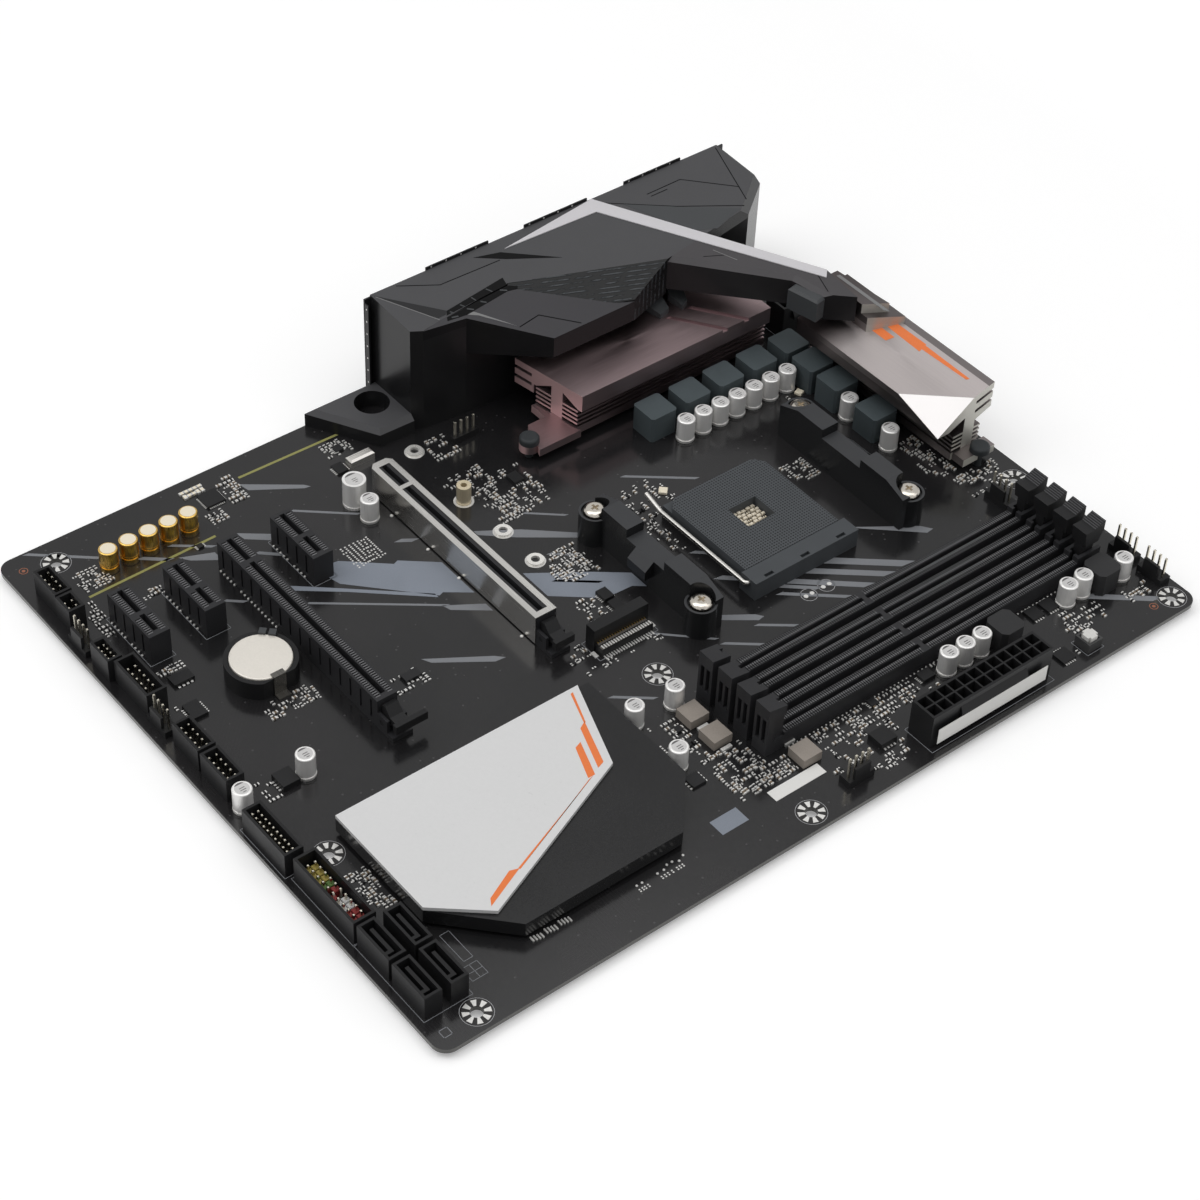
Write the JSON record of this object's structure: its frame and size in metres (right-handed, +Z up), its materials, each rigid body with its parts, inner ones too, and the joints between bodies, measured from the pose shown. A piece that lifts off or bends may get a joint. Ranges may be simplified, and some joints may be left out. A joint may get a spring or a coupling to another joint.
{
  "type": "motherboard",
  "caption": "Full-size desktop computer motherboard with processor socket, memory and expansion slots, heatsinks, port cover, connectors and headers.",
  "frame": {"origin": "centre of the rear lower mounting hole, on the underside of the board", "axes": "+X from the rear port edge to the front edge, +Y from the expansion slot end to the processor end, +Z up, away from the board on the component side"},
  "size_m": [0.2459, 0.3048, 0.0473],
  "materials": {
    "board_laminate": "dark solder mask, satin",
    "shroud_plastic": "fine matt grain, dark grey",
    "shroud_blade": "satin black blade",
    "woven_band": "woven black band",
    "bridge_plastic": "fine matt grain, dark grey",
    "silver_stripe": "pale silver paint",
    "shield_metal": "black coated sheet",
    "port_plastic": "moulded black",
    "port_steel": "plated shell",
    "heatsink_bronze": "brushed warm grey anodised",
    "heatsink_silver": "satin silver-grey anodised",
    "thermal_pad": "soft pad",
    "pin_plastic": "moulded black",
    "choke_ferrite": "dark slate moulded ferrite",
    "ferrite_grey": "moulded ferrite",
    "can_aluminium": "bare can, satin",
    "can_gold": "gold tinted can",
    "chip_epoxy": "moulded black package",
    "socket_plastic": "moulded black",
    "slider_plastic": "dark grey with pin grid",
    "lever_steel": "bright plated wire",
    "bracket_plastic": "moulded black",
    "backplate_steel": "black coated steel",
    "screw_steel": "bright plated",
    "armor_steel": "polished steel",
    "connector_plastic": "moulded black",
    "standoff_brass": "gold plated brass",
    "chipset_black": "glossy black anodised",
    "chipset_white": "pale silver-white",
    "coin_steel": "brushed steel can",
    "clip_steel": "sprung steel",
    "button_base": "moulded black",
    "button_cap": "pale plastic",
    "slot_plastic": "moulded black",
    "latch_plastic": "moulded black"
  },
  "bodies": {
    "board": {"pcb": "board_laminate", "io_shroud": "shroud_plastic", "shroud_beak": "shroud_blade", "shroud_band": "woven_band", "shroud_bridge": "bridge_plastic", "shroud_stripe": "silver_stripe", "io_shield": "shield_metal", "audio_jacks": "port_plastic", "usb_ports": "port_steel", "lan_port": "port_steel", "video_ports": "port_steel", "ps2_port": "port_plastic", "vrm_heatsink_rear": "heatsink_bronze", "vrm_heatsink_top": "heatsink_silver", "thermal_pads": "thermal_pad", "heatsink_push_pins": "pin_plastic", "vrm_chokes": "choke_ferrite", "power_inductors": "ferrite_grey", "polymer_capacitors": "can_aluminium", "audio_capacitors": "can_gold", "integrated_circuits": "chip_epoxy", "cpu_socket_base": "socket_plastic", "cooler_bracket_lower": "bracket_plastic", "cooler_bracket_upper": "bracket_plastic", "cooler_backplate": "backplate_steel", "cooler_screws": "screw_steel", "pcie_slot_armor": "armor_steel", "m2_connector": "connector_plastic", "m2_standoffs": "standoff_brass", "chipset_heatsink": "chipset_black", "chipset_cover_plate": "chipset_white", "atx_power_connector": "connector_plastic", "eps_power_connector": "connector_plastic", "battery_holder": "connector_plastic", "coin_cell": "coin_steel", "battery_clip": "clip_steel", "box_headers": "connector_plastic", "usb3_header": "connector_plastic", "front_panel_header": "connector_plastic", "fan_headers": "connector_plastic", "sata_ports": "connector_plastic", "flash_button_base": "button_base", "dimm_slot_1": "slot_plastic", "dimm_slot_2": "slot_plastic", "dimm_slot_3": "slot_plastic", "dimm_slot_4": "slot_plastic", "pcie_x16_slot_1": "slot_plastic", "pcie_x16_slot_2": "slot_plastic", "pcie_x1_slot_1": "slot_plastic", "pcie_x1_slot_2": "slot_plastic", "pcie_x1_slot_3": "slot_plastic"},
    "cpu_socket_lever": {"cpu_socket_lever": "lever_steel"},
    "cpu_socket_slider": {"cpu_socket_slider": "slider_plastic"},
    "flash_button_cap": {"flash_button_cap": "button_cap"},
    "dimm_latch_1": {"dimm_latch_1": "latch_plastic"},
    "dimm_latch_2": {"dimm_latch_2": "latch_plastic"},
    "dimm_latch_3": {"dimm_latch_3": "latch_plastic"},
    "dimm_latch_4": {"dimm_latch_4": "latch_plastic"},
    "pcie_latch_1": {"pcie_latch_1": "latch_plastic"},
    "pcie_latch_2": {"pcie_latch_2": "latch_plastic"}
  },
  "joints": [
    {"name": "socket_lever_hinge", "type": "hinge", "parent": "board", "child": "cpu_socket_lever", "pos_m": [0.14414, 0.16979, 0.0071], "axis": [0, 1, 0], "range_deg": [0, 90]},
    {"name": "socket_slider_slide", "type": "slide", "parent": "board", "child": "cpu_socket_slider", "axis": [-1, 0, 0], "range_m": [0, 0.001]},
    {"name": "dimm_latch_hinge_1", "type": "hinge", "parent": "board", "child": "dimm_latch_1", "pos_m": [0.17254, 0.26779, 0.0066], "axis": [-1, 0, 0], "range_deg": [0, 28]},
    {"name": "dimm_latch_hinge_2", "type": "hinge", "parent": "board", "child": "dimm_latch_2", "pos_m": [0.18131, 0.26779, 0.0066], "axis": [-1, 0, 0], "range_deg": [0, 28]},
    {"name": "dimm_latch_hinge_3", "type": "hinge", "parent": "board", "child": "dimm_latch_3", "pos_m": [0.19008, 0.26779, 0.0066], "axis": [-1, 0, 0], "range_deg": [0, 28]},
    {"name": "dimm_latch_hinge_4", "type": "hinge", "parent": "board", "child": "dimm_latch_4", "pos_m": [0.19885, 0.26779, 0.0066], "axis": [-1, 0, 0], "range_deg": [0, 28]},
    {"name": "pcie_latch_hinge_1", "type": "hinge", "parent": "board", "child": "pcie_latch_1", "pos_m": [0.12404, 0.10559, 0.0055], "axis": [0, 1, 0], "range_deg": [0, 18]},
    {"name": "pcie_latch_hinge_2", "type": "hinge", "parent": "board", "child": "pcie_latch_2", "pos_m": [0.12404, 0.04463, 0.0055], "axis": [0, 1, 0], "range_deg": [0, 18]},
    {"name": "flash_button_press", "type": "slide", "parent": "board", "child": "flash_button_cap", "axis": [0, 0, -1], "range_m": [0, 0.00025], "stiffness_N_per_m": 400}
  ],
  "couplings": [
    {"joint": "socket_slider_slide", "follows": "socket_lever_hinge", "m_per_rad": 0.000636}
  ]
}
